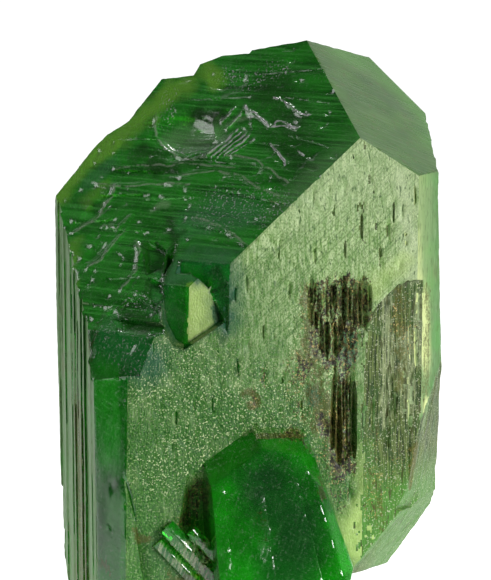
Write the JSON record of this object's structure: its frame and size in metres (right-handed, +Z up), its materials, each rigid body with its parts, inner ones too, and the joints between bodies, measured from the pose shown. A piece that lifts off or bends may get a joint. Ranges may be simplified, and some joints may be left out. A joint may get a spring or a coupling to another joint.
{
  "type": "diopside crystal",
  "caption": "Upright green translucent prismatic crystal with a slanted, stepped end and a smaller crystal grown on its foot, standing on a flat base.",
  "frame": {"origin": "middle of the bounding box, on the flat base that the crystal stands on", "axes": "+Z up along the crystal's length, -Y out of the big etched front face"},
  "size_m": [0.0312, 0.0248, 0.0456],
  "materials": {
    "diopside": "satin"
  },
  "bodies": {
    "root": {"diopside_crystal": "diopside"}
  },
  "joints": []
}
